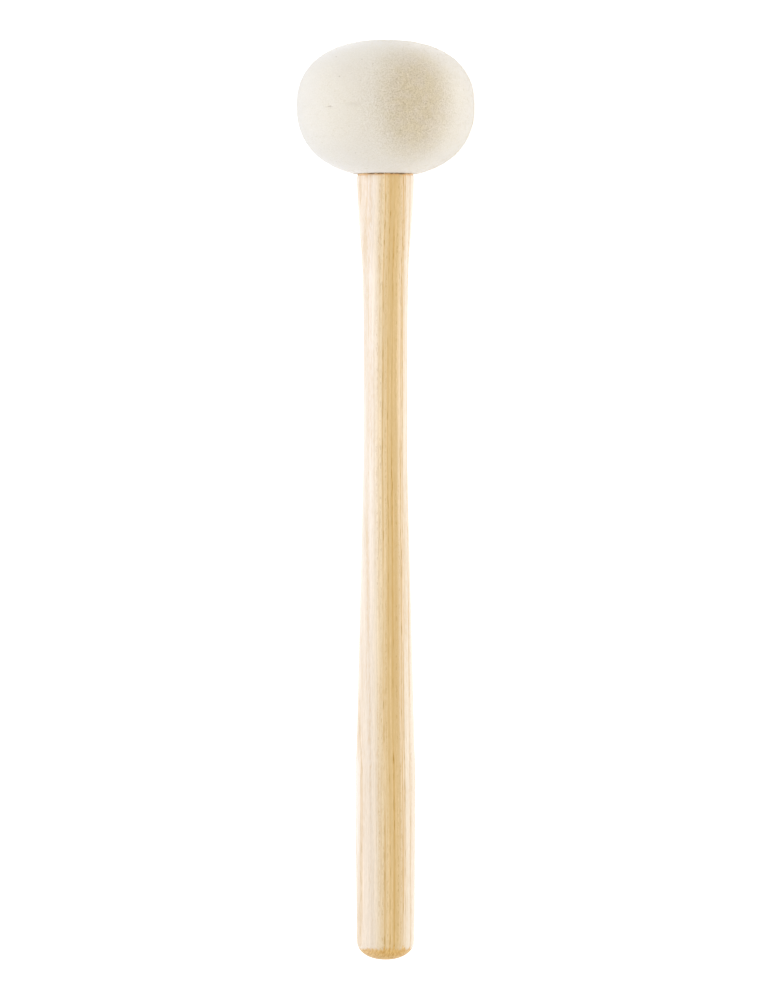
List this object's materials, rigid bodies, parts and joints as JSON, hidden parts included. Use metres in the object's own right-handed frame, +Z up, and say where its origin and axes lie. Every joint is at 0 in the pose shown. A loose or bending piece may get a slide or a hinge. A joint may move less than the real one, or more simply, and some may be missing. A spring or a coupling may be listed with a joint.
{
  "type": "bass drum mallet",
  "caption": "Bass drum mallet: an oval head of hard pale felt glued on the flared end of a turned, swelling and tapered wooden handle with a rounded butt.",
  "frame": {"origin": "on the ground under the middle of the lying mallet", "axes": "+Y along the mallet over the ground, towards the head; +Z up. The mallet lies on the widest part of its head and on its butt, so its own axis climbs 4.14 degrees towards the head"},
  "size_m": [0.07, 0.3616, 0.0699],
  "materials": {
    "ash_wood": "satin",
    "hard_felt": "matte",
    "pale_glue": "satin",
    "brown_glue": "satin"
  },
  "bodies": {
    "root": {"handle": "ash_wood", "felt_disc_lower": "hard_felt", "felt_disc_upper": "hard_felt", "disc_glue_line": "pale_glue", "tenon_glue_sleeve": "pale_glue", "shoulder_glue_ring": "brown_glue"}
  },
  "joints": []
}
